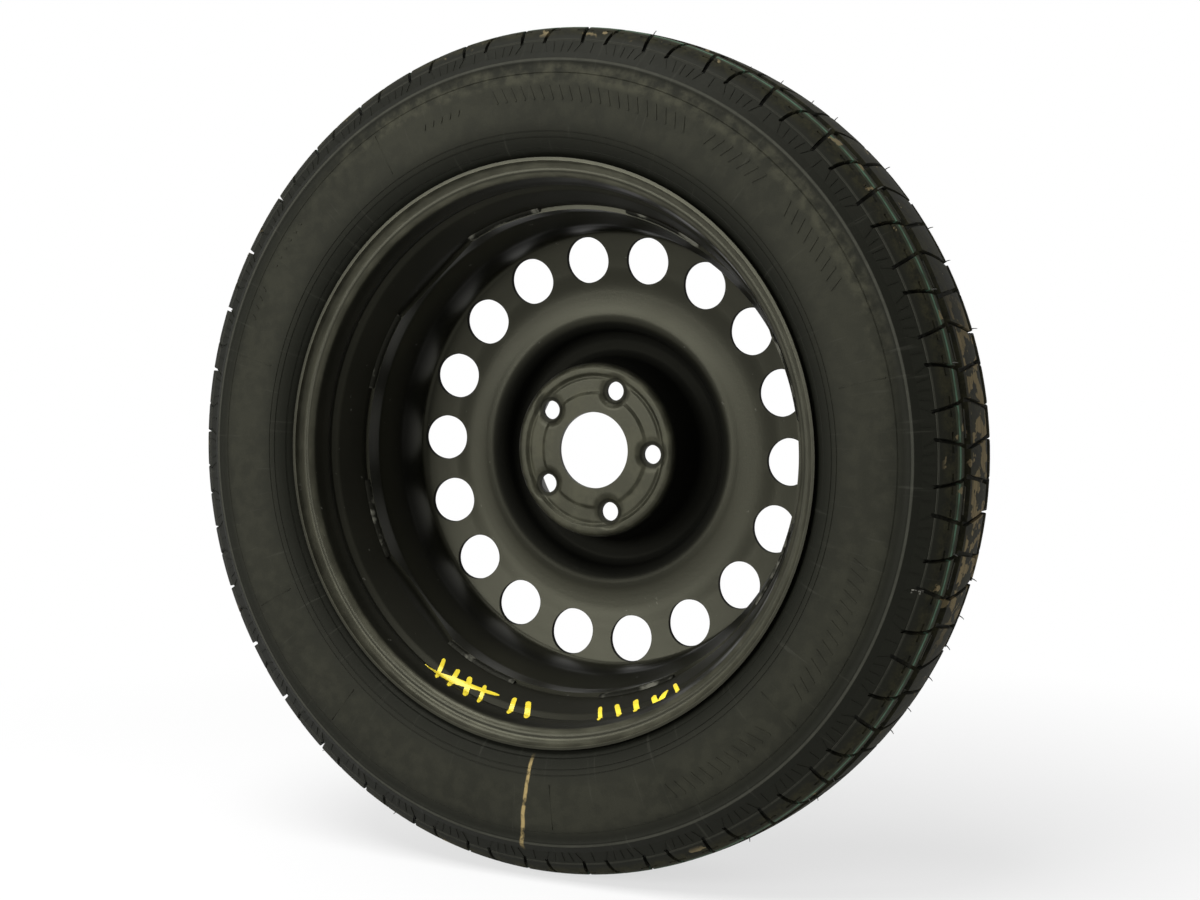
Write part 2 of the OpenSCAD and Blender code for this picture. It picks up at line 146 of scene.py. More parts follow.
def curved(points, parts):
    """A smooth line through the points, each stretch in so many parts."""
    pts = [Vector(p) for p in points]
    path = []
    for i in range(len(pts) - 1):
        p0, p1, p2, p3 = pts[max(i - 1, 0)], pts[i], pts[i + 1], pts[min(i + 2, len(pts) - 1)]
        for k in range(parts):
            t = k / parts
            path.append(0.5 * (2 * p1 + (p2 - p0) * t + (2 * p0 - 5 * p1 + 4 * p2 - p3) * t ** 2
                               + (3 * p1 - p0 - 3 * p2 + p3) * t ** 3))
    return path + [pts[-1]]


def moved(path, t):
    """The line moved to its right by t, as the other face of a pressed sheet."""
    out = []
    for i, p in enumerate(path):
        a = (p - path[i - 1]).normalized() if i else (path[1] - p).normalized()
        b = (path[i + 1] - p).normalized() if i + 1 < len(path) else a
        n0, n1 = Vector((a.y, -a.x)), Vector((b.y, -b.x))
        m = (n0 + n1).normalized()
        out.append(p + m * t / m.dot(n0))
    return out


def raised_line(path, r, width, height):
    """The outline with a fine moulded line standing on it at radius r."""
    out = [path[0]]
    for a, b in zip(path, path[1:]):
        marks = []
        for edge, lift in ((r + width / 2, 0), (r + width / 3, height),
                           (r - width / 3, height), (r - width / 2, 0)):
            if min(a.x, b.x) <= edge < max(a.x, b.x):
                along = (b - a).normalized()
                t = (edge - a.x) / (b.x - a.x)
                marks.append((t, a.lerp(b, t) + Vector((-along.y, along.x)) * lift))
        out += [p for _, p in sorted(marks, key=lambda mark: mark[0])] + [b]
    return out


# Bench work


def only(obj):
    """Selects this piece alone, on the bench."""
    bpy.ops.object.select_all(action="DESELECT")
    obj.select_set(True)
    bpy.context.view_layer.objects.active = obj


def edit(obj):
    """Opens the piece in edit mode."""
    only(obj)
    bpy.ops.object.mode_set(mode="EDIT")


def done(obj, name=None):
    """Closes edit mode, and names the piece."""
    bpy.ops.object.mode_set(mode="OBJECT")
    if name:
        obj.name = obj.data.name = name
    return obj


def drawn(name, points, close=True):
    """An outline in the row's space, drawn as one point extruded from place to place."""
    bpy.ops.object.select_all(action="DESELECT")
    bpy.ops.mesh.primitive_plane_add(size=MM, location=points[0])
    obj = bpy.context.object
    bpy.ops.object.transform_apply(location=True, rotation=False, scale=False)
    edit(obj)
    bpy.ops.mesh.select_mode(type="VERT")
    bpy.ops.mesh.select_all(action="SELECT")
    bpy.ops.mesh.merge(type="CENTER")
    for a, b in zip(points, points[1:] + ([points[0]] if close else [])):
        bpy.ops.mesh.extrude_vertices_move(TRANSFORM_OT_translate={"value": b - a})
    bpy.ops.mesh.select_all(action="SELECT")
    bpy.ops.mesh.remove_doubles(threshold=1e-7)
    return done(obj, name)


def revolved(obj, steps, angle=360.0, axis=AXIS, weld=1e-6):
    """A drawn line turned about an axis through the origin."""
    edit(obj)
    bpy.ops.mesh.select_all(action="SELECT")
    if angle < 360:
        bpy.ops.mesh.edge_face_add()
    bpy.ops.mesh.spin(steps=steps, angle=math.radians(angle), center=(0, 0, 0), axis=axis)
    bpy.ops.mesh.select_all(action="SELECT")
    bpy.ops.mesh.remove_doubles(threshold=weld)
    bpy.ops.mesh.normals_make_consistent(inside=False)
    return done(obj)


def spun(name, outline, steps, angle=360.0, start=0.0):
    """A closed outline of (r, depth) points turned about the wheel's axis."""
    obj = drawn(name, [on_wheel(p.x, start, p.y) for p in outline])
    return revolved(obj, steps, angle)


def picked(obj, wanted):
    """Selects the vertices that are wanted, and what lies between them."""
    points = obj.data.vertices
    for v in points:
        v.select = wanted(v)
    for part in [*obj.data.edges, *obj.data.polygons]:
        part.select = all(points[i].select for i in part.vertices)


def placed(obj, matrix):
    """Moves the piece, with its place kept in its mesh."""
    obj.matrix_world = matrix @ obj.matrix_world
    only(obj)
    bpy.ops.object.transform_apply(location=True, rotation=True, scale=True)
    return obj


def outwards(obj):
    """Turns the faces outwards."""
    edit(obj)
    bpy.ops.mesh.select_all(action="SELECT")
    bpy.ops.mesh.normals_make_consistent(inside=False)
    return done(obj)


def copied(obj, matrices, name=None):
    """One piece of copies of obj at the given places. The model itself goes."""
    mirrored = any(m.determinant() < 0 for m in matrices)
    copies = []
    for m in matrices:
        new = bpy.data.objects.new(obj.name, obj.data.copy())
        bpy.context.scene.collection.objects.link(new)
        new.data.transform(m)
        copies.append(new)
    bpy.data.objects.remove(obj)
    whole = joined(copies, name)
    return outwards(whole) if mirrored else whole


def joined(objs, name):
    """Makes the pieces one."""
    bpy.ops.object.select_all(action="DESELECT")
    for o in objs:
        o.select_set(True)
    bpy.context.view_layer.objects.active = objs[0]
    if len(objs) > 1:
        bpy.ops.object.join()
    if name:
        objs[0].name = objs[0].data.name = name
    return objs[0]


def modified(obj, kind, **settings):
    """Adds a modifier and applies it."""
    only(obj)
    modifier = obj.modifiers.new(kind.lower(), kind)
    for key, value in settings.items():
        setattr(modifier, key, value)
    bpy.ops.object.modifier_apply(modifier=modifier.name)
    return obj


def cut(obj, cutter):
    """Cuts the piece, and puts the cutter away."""
    modified(obj, "BOOLEAN", operation="DIFFERENCE", solver="MANIFOLD", object=cutter)
    bpy.data.objects.remove(cutter)
    return obj


def smoothed(obj, angle=40.0):
    """Smooths the faces that meet at less than an angle."""
    only(obj)
    bpy.ops.object.shade_smooth_by_angle(angle=math.radians(angle))
    return obj


def block(centre, size, taper=1.0):
    """A small block at a place in the row's space, narrowed towards its top."""
    bpy.ops.object.select_all(action="DESELECT")
    bpy.ops.mesh.primitive_cube_add(size=1, location=centre, scale=size)
    obj = bpy.context.object
    bpy.ops.object.transform_apply(location=True, rotation=True, scale=True)
    top = max(v.co.x for v in obj.data.vertices)
    picked(obj, lambda v: v.co.x > top - 1e-6)
    edit(obj)
    bpy.ops.transform.resize(value=(1, taper, taper), center_override=(top, centre[1], centre[2]))
    return done(obj)


# Tyre


def crown(d):
    """The tread's radius at a distance from the centre plane."""
    return TYRE_R - CROWN_CURVE + math.sqrt(CROWN_CURVE ** 2 - d * d)


TREAD_EDGE_D = 38.1
SHOULDER_TOP = crown(TREAD_EDGE_D) - 1.9


def tyre_outline():
    """The tyre's whole section as (r, depth) points, with its fine moulded lines."""
    floor = crown(GROOVE_D) - TREAD_DEPTH
    near, far = GROOVE_D - GROOVE_HALF_W, GROOVE_D + GROOVE_HALF_W
    edge = (crown(TREAD_EDGE_D), TREAD_EDGE_D)
    tread = [Vector((crown(d), d)) for d in (0, 6, 12, 18, 22.5)] + rounded([
        (crown(22.5), 22.5), (crown(near), near, 0.4), (floor, near + 0.3, 1.2),
        (floor, far - 3.2, 0.4), (floor + 1.8, far - 2.8, 0.3), (floor + 1.8, far - 0.2, 0.3),
        (crown(far) - 0.9, far, 0.2), (crown(far + 1.2), far + 1.2, 0.4), edge,
    ], 30)
    shoulder = rounded([
        edge, (SHOULDER_TOP, 52.1, 24), (317.2, 63.0, 2.5), (312.5, 66.6, 1),
        (309.3, 67.0, 0.5), (307.3, 66.3),
    ], 6)
    wall = curved([(307.3, 66.3), (296.3, 68.1), (281.3, 69.0), (264.3, 69.0), (254.3, 67.5),
                   (246.3, 64.3), (240.8, 60.3), (236.4, 55.4), (232.8, 52.4), (229.3, 50.2)], 3)
    outside = tread[:-1] + shoulder[:-1] + wall
    for r, width, height in ((327.2, 1.3, 0.45), (255.2, 1.1, 0.45), (250.8, 1.1, 0.45),
                             (242.5, 0.9, 0.35), (300.5, 0.9, 0.3)):
        outside = raised_line(outside, r, width, height)
    inside = [Vector(p) for p in (
        (226.6, 49.6), (224.6, 47.4), (221.6, 38.4), (225.3, 39.7), (233.3, 44.8),
        (245.3, 54.2), (258.3, 63.7), (284.3, 64.7), (302.3, 61.8), (314.3, 54.6),
        (324.3, 42.6), (330.9, 24), (332.5, 9))]
    half = outside + inside
    return ([Vector((p.x, TYRE_PLANE + p.y)) for p in half]
            + [Vector((p.x, TYRE_PLANE - p.y)) for p in reversed(half) if p.y > 0])


def shoulder_groove():
    """The cutter for one shoulder groove at angle 0, with drafted sides."""
    width, draft = 4.2, 0.66
    floor = crown(GROOVE_D) - TREAD_DEPTH
    side = rounded([
        (floor + 0.8, GROOVE_D), (floor - 0.3, 38.6, 6), (SHOULDER_TOP - 6.8, 47.6, 8),
        (SHOULDER_TOP - 12.4, 54.3, 6), (SHOULDER_TOP - 15, 60.6, 1), (TYRE_R + 12, 60.6),
        (TYRE_R + 12, GROOVE_D),
    ], 10)
    back = Vector((0, 0, width / 2 * MM))
    obj = drawn("groove_cutter", [on_wheel(p.x, 0, TYRE_PLANE + p.y) - back for p in side])
    edit(obj)
    bpy.ops.mesh.select_all(action="SELECT")
    bpy.ops.mesh.edge_face_add()
    bpy.ops.mesh.extrude_region_move(TRANSFORM_OT_translate={"value": (0, 0, width * MM)})
    bpy.ops.mesh.select_all(action="SELECT")
    bpy.ops.mesh.normals_make_consistent(inside=False)
    done(obj)
    picked(obj, lambda v: v.co.x < (TYRE_R + 5) * MM)
    edit(obj)
    bpy.ops.transform.resize(value=(1, 1, draft), center_override=(0, 0, 0))
    return done(obj)


def leaned(angle):
    """A lean about the radius at angle 0, from the middle of the ring groove."""
    at = on_wheel(0, 0, TYRE_PLANE + GROOVE_D)
    return (Matrix.Translation(at) @ Matrix.Rotation(math.radians(angle), 4, "X")
            @ Matrix.Translation(-at))


def tyre_patterns(near_turns):
    """Turns for the inboard pattern, and mirrored ones for the outboard pattern."""
    shift = turn(PAIR + SLOT_TURN)
    every = [turn(TREAD_PHASE + PITCH * i) for i in range(PITCHES)]
    return [e @ m for e in every for m in near_turns] + [
        e @ shift @ OUTBOARD_MIRROR @ m for e in every for m in near_turns]


def make_tyre():
    """The tyre with its grooves, slots and shoulder dashes cut in."""
    tyre = spun("tyre_body", tyre_outline(), PITCHES * STEPS_PER_PITCH)
    grooves = copied(shoulder_groove(), tyre_patterns(
        [leaned(SHOULDER_LEAN), turn(PAIR) @ leaned(-SHOULDER_LEAN)]))
    cut(tyre, grooves)
    slot = block(on_wheel(TYRE_R + 4, 0, TYRE_PLANE), (16.4 * MM, 2 * GROOVE_D * MM, 3.4 * MM))
    middle = on_wheel(0, 0, TYRE_PLANE)
    slots = []
    for at, lean in ((-SLOT_TURN / 2, -SLOT_LEAN), (PAIR + SLOT_TURN / 2, SLOT_LEAN)):
        tilt = (Matrix.Translation(middle) @ Matrix.Rotation(math.radians(lean), 4, "X")
                @ Matrix.Translation(-middle))
        slots += [turn(TREAD_PHASE + PITCH * i + at) @ tilt for i in range(PITCHES)]
    cut(tyre, copied(slot, slots))
    dash_d = 50.0
    drift = math.degrees((dash_d - GROOVE_D) * math.tan(math.radians(SHOULDER_LEAN)) / TYRE_R)
    dash = block(on_wheel(338.5, 0, TYRE_PLANE + dash_d), (10 * MM, 1.7 * MM, 15 * MM))
    cut(tyre, copied(dash, tyre_patterns([turn(-drift), turn(PAIR + drift)])))
    return smoothed(tyre, 32)


def make_stone_bars():
    """The low bars in the ring grooves, beside the long blocks, that keep stones out."""
    top, foot = crown(GROOVE_D) - 1.6, crown(GROOVE_D) - TREAD_DEPTH - 0.5
    bar = block(on_wheel((top + foot) / 2, 0, TYRE_PLANE + GROOVE_D),
                ((top - foot) * MM, 4.4 * MM, 23 * MM), 0.9)
    return copied(bar, tyre_patterns([turn((PITCH + PAIR) / 2)]), "stone_bars")


def make_buttress_rays():
    """Fine moulded rays between the sidewall's ridge and the groove ends."""
    low, high = Vector((317.2, 63.0)), Vector((325.6, 58.76))
    middle, along = (low + high) / 2, (high - low).normalized()
    slope = math.atan2(along.y, along.x)
    ray = block((0, 0, 0), (0.8 * MM, (high - low).length * MM, 0.55 * MM), 0.8)
    stand = (Matrix.Translation(on_wheel(middle.x, 0, TYRE_PLANE + middle.y))
             @ Matrix.Rotation(math.pi / 2 - slope, 4, "Z"))
    fans = [(-0.9, 26), (0.35, 12), (1.6, 0), (2.9, -12), (4.2, -26), (6.4, 0)]
    places = tyre_patterns([
        turn(at) @ stand @ Matrix.Rotation(math.radians(lean), 4, "X") for at, lean in fans])
    return copied(ray, places, "buttress_rays")


def make_wall_ribs():
    """Groups of plain leaning ribs in the sidewall's band, where such tyres carry marks."""
    spacing, lean, wall_fall = 1.7, 24, 0.056
    wall_slope = Matrix.Rotation(math.radians(3.2), 4, "Z")
    groups = [(27, 42, 12, 285), (47, 58, 12, 285), (62, 97, 12, 285), (103, 110, 5, 281),
              (139, 148, 5, 293), (152, 158, 5, 293), (296, 315, 13, 283), (323, 346, 13, 283)]
    pieces = []
    for n, (first, last, length, r) in enumerate(groups):
        rib = block((0, 0, 0), (length * MM, 1.2 * MM, 1.3 * MM))
        depth = TYRE_PLANE + WALL_D - (r - 285) * wall_fall
        stand = (Matrix.Translation(on_wheel(r, 0, depth)) @ wall_slope
                 @ Matrix.Rotation(math.radians(lean if n % 2 else -lean), 4, "Y"))
        count = int((last - first) / spacing) + 1
        near = [turn(first + spacing * k) @ stand for k in range(count)]
        pieces.append(copied(rib, near + [turn(10) @ OUTBOARD_MIRROR @ m for m in near]))
    return joined(pieces, "wall_ribs")


def make_mould_lines():
    """Faint lines across the sidewall, where the mould's sectors met."""
    line = block((0, 0, 0), (36 * MM, 0.8 * MM, 0.5 * MM))
    stand = (Matrix.Translation(on_wheel(280, 0, TYRE_PLANE + WALL_D))
             @ Matrix.Rotation(math.radians(1.4), 4, "Z"))
    near = [turn(a) @ stand for a in (12, 119, 164, 207, 230, 274, 319)]
    return copied(line, near + [OUTBOARD_MIRROR @ m for m in near], "mould_lines")


def make_mould_hairs():
    """Thin bent rubber hairs, left by the mould's vents at the tread's edges."""
    random.seed(7)
    bend = 60
    hairs = []
    for i in range(2 * PITCHES):
        angle = TREAD_PHASE + PITCH * i / 2 + random.uniform(-0.6, 0.6)
        d = random.choice((-42, -40, -38, -37, 40))
        length = random.uniform(3.4, 4.8)
        lean = random.uniform(-22, 22)
        # No hair stands at the four places that give the wheel its overall size
        if abs((angle + 45) % 90 - 45) < 9:
            continue
        bpy.ops.object.select_all(action="DESELECT")
        bpy.ops.mesh.primitive_cone_add(vertices=6, radius1=0.5 * MM, radius2=0.28 * MM,
                                        depth=length * MM)
        hair = bpy.context.object
        edit(hair)
        bpy.ops.mesh.select_all(action="SELECT")
        bpy.ops.mesh.subdivide(number_cuts=2)
        done(hair)
        for v in hair.data.vertices:
            v.co.x += bend * (v.co.z + length / 2 * MM) ** 2
        hair.data.transform(
            turn(angle) @ Matrix.Translation(on_wheel(crown(d) + length * 0.4, 0, TYRE_PLANE + d))
            @ Matrix.Rotation(math.radians(lean), 4, "Z") @ Matrix.Rotation(math.pi / 2, 4, "Y"))
        hairs.append(hair)
    return joined(hairs, "mould_hairs")


# Rim and disc


def rim_tyre_side():
    """The rim's tyre side from the inboard lip to the outboard one, round the plane."""
    facet_run = (HUMP_R - WELL_OUTER_R) * math.tan(math.radians(VALVE_TILT))
    lip = RIM_HALF_W + 10.0
    return rounded([
        (FLANGE_R, lip), (FLANGE_R, RIM_HALF_W, 8.5), (SEAT_R + 6.0, RIM_HALF_W, 4),
        (SEAT_R + 0.7, 35, 3), (SEAT_R + 2, 32.5, 3), (SEAT_R + 1.6, 28.5, 3), (215.3, 24.5, 4),
        (WELL_OUTER_R, 0.5, 12), (WELL_OUTER_R, -22, 1.2), (HUMP_R, -22 - facet_run, 3),
        (HUMP_R, -(RIM_HALF_W - SEAT_W - 2), 3), (SEAT_R - SEAT_DROP, -(RIM_HALF_W - SEAT_W), 1.2),
        (SEAT_R, -RIM_HALF_W, 4), (FLANGE_R, -RIM_HALF_W, 9.5), (FLANGE_R, -lip),
    ], 6)


def rim_face():
    """The rim's inner side, which shows, as (r, d) points."""
    return moved(rim_tyre_side(), RIM_SHEET)


def make_rim():
    """The rolled rim, with its valve hole."""
    outer, inner = rim_tyre_side(), rim_face()
    inner = raised_line(inner, 234.6, 2.2, 0.7)
    outline = [Vector((p.x, TYRE_PLANE + p.y)) for p in outer + inner[::-1]]
    rim = spun("rim_shell", outline, steps=300)
    hole_at = Matrix.Translation((0, 0, -1.5 * MM)) @ Matrix.Rotation(-math.pi / 2, 4, "X")
    hole = placed(round_cutter(VALVE_HOLE_R, length=7, sides=48), valve_matrix() @ hole_at)
    return smoothed(cut(rim, hole))


def valve_matrix():
    """The valve's own drawing, with its axis along Z, to the row's space."""
    tilt = math.radians(VALVE_TILT)
    at_r = WELL_OUTER_R + 6.4 * math.cos(tilt) - RIM_SHEET * math.sin(tilt)
    at_z = TYRE_PLANE - 22 - 6.4 * math.sin(tilt) - RIM_SHEET * math.cos(tilt)
    upright = Matrix.Rotation(math.pi / 2, 4, "X")
    return (upright @ Matrix.Rotation(math.pi / 2, 4, "Z")
            @ Matrix.Translation((at_r * MM, 0, at_z * MM))
            @ Matrix.Rotation(math.pi + tilt, 4, "Y"))


def pressed_height(r, angle, depth):
    """The hub side's height, with the bolt holes' dimples pressed into the sheet."""
    flat_r, slope_w, deep = 9.6, 6.4, 2.9
    for bolt in BOLTS:
        a = math.radians(angle - bolt)
        away = math.hypot(r * math.cos(a) - BOLT_CIRCLE, r * math.sin(a))
        if away < DIMPLE_R:
            t = min(1.0, max(0.0, (away - flat_r) / slope_w)) ** 0.7
            ease = t * t * (3 - 2 * t)
            depth = min(depth, -deep * (1 - ease) + depth * ease)
    return depth


def make_disc():
    """The pressed disc, with its vents, bolt holes and scallops."""
    pad_r, fine, coarse = 74.0, 1.2, 8.0
    hub_side = rounded([
        (32.55, 0), (47.5, 0, 2.5), (50.2, -1.6, 2.5), (60.5, -1.6, 2), (63.2, -2.6, 1.6),
        (65.9, 0, 1.6), (73.9, 0, 5.6), (81.2, -48, 8.5), (101.35, -48, 8.5),
        (106.1, -24.5, 14.1), (125, -27.9, 60), (147.1, -34.9, 42),
        (188.3, -26.6, 5), (190.3, 7.5, 14), (200.6, 26.5, 6), (200.6, 42.5),
    ], 7.5)
    dense = [hub_side[0]]
    for a, b in zip(hub_side, hub_side[1:]):
        parts = max(1, round((b - a).length / (fine if b.x < pad_r + 2 else coarse)))
        dense += [a.lerp(b, (i + 1) / parts) for i in range(parts)]
    obj = drawn("disc_sheet", [on_wheel(p.x, 0, p.y) for p in dense], close=False)
    revolved(obj, steps=270)
    for v in obj.data.vertices:
        r = math.hypot(v.co.x, v.co.z) / MM
        if r < pad_r:
            angle = math.degrees(math.atan2(v.co.z, v.co.x))
            v.co.y = -pressed_height(r, angle, -v.co.y / MM) * MM
    # The faces look inboard, so that the sheet thickens towards the outboard side
    if obj.data.polygons[0].normal.y > 0:
        obj.data.flip_normals()
    modified(obj, "SOLIDIFY", thickness=DISC_SHEET * MM, offset=-1, use_even_offset=True)
    vent_at = Matrix.Translation(on_wheel(VENT_CIRCLE_R, 0, -30))
    vents = [turn(VENT_PHASE - 360 / VENTS * i) @ vent_at for i in range(VENTS)]
    cut(obj, copied(round_cutter(VENT_R, length=40, sides=72), vents))
    holes = [turn(b) @ Matrix.Translation(on_wheel(BOLT_CIRCLE, 0, 0)) for b in BOLTS]
    cut(obj, copied(round_cutter(BOLT_HOLE_R, length=30, sides=48), holes))
    scallop_at = on_wheel(SKIRT_IN_R, 0, SKIRT_TOP - SCALLOP_DEPTH + SCALLOP_R)
    scallops = [turn(SCALLOP_PHASE + 90 * i) @ Matrix.Translation(scallop_at)
                @ Matrix.Rotation(math.pi / 2, 4, "Z") for i in range(4)]
    cut(obj, copied(round_cutter(SCALLOP_R, length=20, sides=200), scallops))
    return smoothed(obj)


def round_cutter(radius, length, sides):
    """A round cutter along the wheel's axis."""
    bpy.ops.object.select_all(action="DESELECT")
    bpy.ops.mesh.primitive_cylinder_add(vertices=sides, radius=radius * MM, depth=length * MM,
                                        rotation=(math.pi / 2, 0, 0))
    obj = bpy.context.object
    bpy.ops.object.transform_apply(location=True, rotation=True, scale=True)
    return obj


def make_weld_bead(i):
    """A fillet bead with the ripples that the welder's steps leave."""
    span = 20.0
    steps_per_degree = 1.35
    bead = rounded([
        (WELL_R, SKIRT_TOP), (WELL_R, SKIRT_TOP + 4.4), (WELL_R - 1.2, SKIRT_TOP + 3.7, 1.3),
        (WELL_R - 2.5, SKIRT_TOP + 2.1, 1.6), (WELL_R - 3.1, SKIRT_TOP)], 20)
    middle = SCALLOP_PHASE + ((i - 1) // 2 + 0.5) * 90 + (-21.5 if i % 2 else 21.5)
    obj = spun(f"weld_run_{i}", bead, steps=96, angle=span, start=middle - span / 2)
    random.seed(40 + i)
    drift = [random.uniform(-0.25, 0.25) for _ in range(30)]
    for v in obj.data.vertices:
        r = math.hypot(v.co.x, v.co.z)
        along = (math.degrees(math.atan2(v.co.z, v.co.x)) - middle + 180) % 360 - 180 + span / 2
        depth = -v.co.y / MM
        if r / MM < WELL_R - 0.3:
            step = along * steps_per_degree
            ripple = 0.42 * (1 - step % 1) ** 0.6 + drift[int(step) % len(drift)]
            end = min(1, along, span - along)
            pull = 1 - (0.35 * ripple * end - 0.5 * (1 - end)) * MM / r
            v.co.x *= pull
            v.co.z *= pull
            v.co.y -= 0.3 * ripple * end * MM if depth > SKIRT_TOP + 0.3 else 0
    return smoothed(obj, 50)


# Valve


def turned_on_valve(name, outline, steps=64):
    """A closed outline of (radius, height) points turned about the valve's axis."""
    obj = drawn(name, [Vector((x * MM, 0, z * MM)) for x, z in outline])
    revolved(obj, steps, axis=(0, 0, 1), weld=1e-7)
    return placed(smoothed(obj), valve_matrix())


def lathe_path(points):
    """A rounded line as plain points."""
    return [(p.x, p.y) for p in rounded(points, 15)]


def make_valve_stem():
    """The rubber body that snaps into the rim."""
    return turned_on_valve("valve_rubber_stem", [(2.7, -7.5)] + lathe_path([
        (2.75, -7.5), (5.2, -7.5, 0.5), (6.2, -6.1, 0.6), (6.1, -2.6, 0.2), (4.3, -2.6, 0.15),
        (4.3, 0.2, 0.3), (5.1, 1.2, 0.4), (5.1, 3.6, 0.5), (4.7, 4.3, 0.3), (4.75, 4.9, 0.3),
        (4.6, 6, 0.5), (4.5, 13.5, 0.5), (4.1, 14.5, 0.3), (2.75, 14.5)]) + [(2.7, 14.5)])


def make_valve_sleeve():
    """The brass tube, with the cap's thread at its end."""
    pitch, root_r = 0.8, THREAD_R - 0.28
    thread = []
    z = 15.2
    while z < 23.8:
        thread += [(root_r, z), (THREAD_R, z + 0.2), (THREAD_R, z + 0.32), (root_r, z + 0.55)]
        z += pitch
    return turned_on_valve("valve_brass_sleeve", [
        (1.5, -6.5), (2.7, -6.5), (2.7, 14.5), (THREAD_R - 0.1, 14.5)] + thread + [
        (THREAD_R - 0.1, 24.5), (THREAD_R - 0.4, 25), (2.3, 25), (2.1, 24.8), (2.1, 11.4),
        (1.5, 11.4)])


def make_valve_cap():
    """The dust cap, with grip ribs round its skirt."""
    obj = turned_on_valve("valve_dust_cap", lathe_path([
        (4.0, 16.0), (4.3, 16.0, 0.15), (4.75, 16.3, 0.2), (4.6, 26.9, 1.1), (0.001, 27.0, 0)]) + [
        (0.001, 25.9), (4.0, 25.9)], steps=60)
    grips = 24
    rib = block((0, 0, 0), (0.5 * MM, 0.45 * MM, 8.6 * MM), 0.6)
    ribs = copied(rib, [
        valve_matrix() @ Matrix.Rotation(math.radians(360 / grips * i), 4, "Z")
        @ Matrix.Translation((4.72 * MM, 0, 21.2 * MM)) for i in range(grips)])
    return smoothed(joined([obj, ribs], "valve_dust_cap"))


# Paint marks


def rim_radius(depth):
    """Radius of the rim's visible side at a depth."""
    face = rim_face()
    for a, b in zip(face, face[1:]):
        if min(a.y, b.y) <= depth - TYRE_PLANE <= max(a.y, b.y) and a.y != b.y:
            return a.lerp(b, (depth - TYRE_PLANE - a.y) / (b.y - a.y)).x
    return WELL_R


def make_paint_strokes():
    """Plain strokes of a yellow paint pen in the rim, like a store keeper's tally."""
    stroke_r = 210
    mm_a_degree = math.radians(1) * stroke_r
    strokes = []
    for at, lean in ((239.5, 3), (243.5, 2), (247.5, 3.2), (251.5, 2.4), (259.5, 2.0),
                     (263.5, 3.0), (281.5, 2.2), (286.0, 3.0), (290.5, 2.2), (301.0, 2.6)):
        strokes.append([(at - lean / 2, 62), (at, 72), (at + lean / 2, 84)])
    strokes.append([(236.5, 79), (245.5, 72), (255, 66)])
    strokes.append([(294.5, 66), (296, 76), (298.5, 68)])
    pieces = []
    for n, line in enumerate(strokes):
        path = curved(line, 7)
        half = 1.75 + 0.3 * (n % 3)
        bpy.ops.object.select_all(action="DESELECT")
        bpy.ops.mesh.primitive_grid_add(x_subdivisions=len(path) - 1, y_subdivisions=4, size=1)
        obj = bpy.context.object
        for v in obj.data.vertices:
            k = min(len(path) - 1, max(0, round((v.co.x + 0.5) * (len(path) - 1))))
            p, q = path[max(k - 1, 0)], path[min(k + 1, len(path) - 1)]
            run = Vector(((q.x - p.x) * mm_a_degree, q.y - p.y)).normalized()
            ends = math.sqrt(max(0.0, 1 - (abs(v.co.x) * 2) ** 6))
            off = v.co.y * 2 * half * max(0.25, ends)
            depth = path[k].y + run.x * off
            angle = path[k].x - run.y * off / mm_a_degree
            v.co = on_wheel(rim_radius(depth) - 0.18, angle, depth)
        pieces.append(obj)
    obj = joined(pieces, "paint_strokes")
    return modified(obj, "SOLIDIFY", thickness=0.3 * MM, offset=0)


# Finishes


class Wire:
    """One socket of a finish. Sums written on it become Math nodes."""

    def __init__(self, finish, socket):
        self.finish, self.socket = finish, socket

    def __add__(self, other):
        return self.finish.math("ADD", self, other)

    def __sub__(self, other):
        return self.finish.math("SUBTRACT", self, other)

    def __rsub__(self, other):
        return self.finish.math("SUBTRACT", other, self)

    def __mul__(self, other):
        return self.finish.math("MULTIPLY", self, other)

    def __pow__(self, other):
        return self.finish.math("POWER", self, other)

    def __neg__(self):
        return self.finish.math("MULTIPLY", self, -1)

    def __abs__(self):
        return self.finish.math("ABSOLUTE", self)

    __radd__ = __add__
    __rmul__ = __mul__


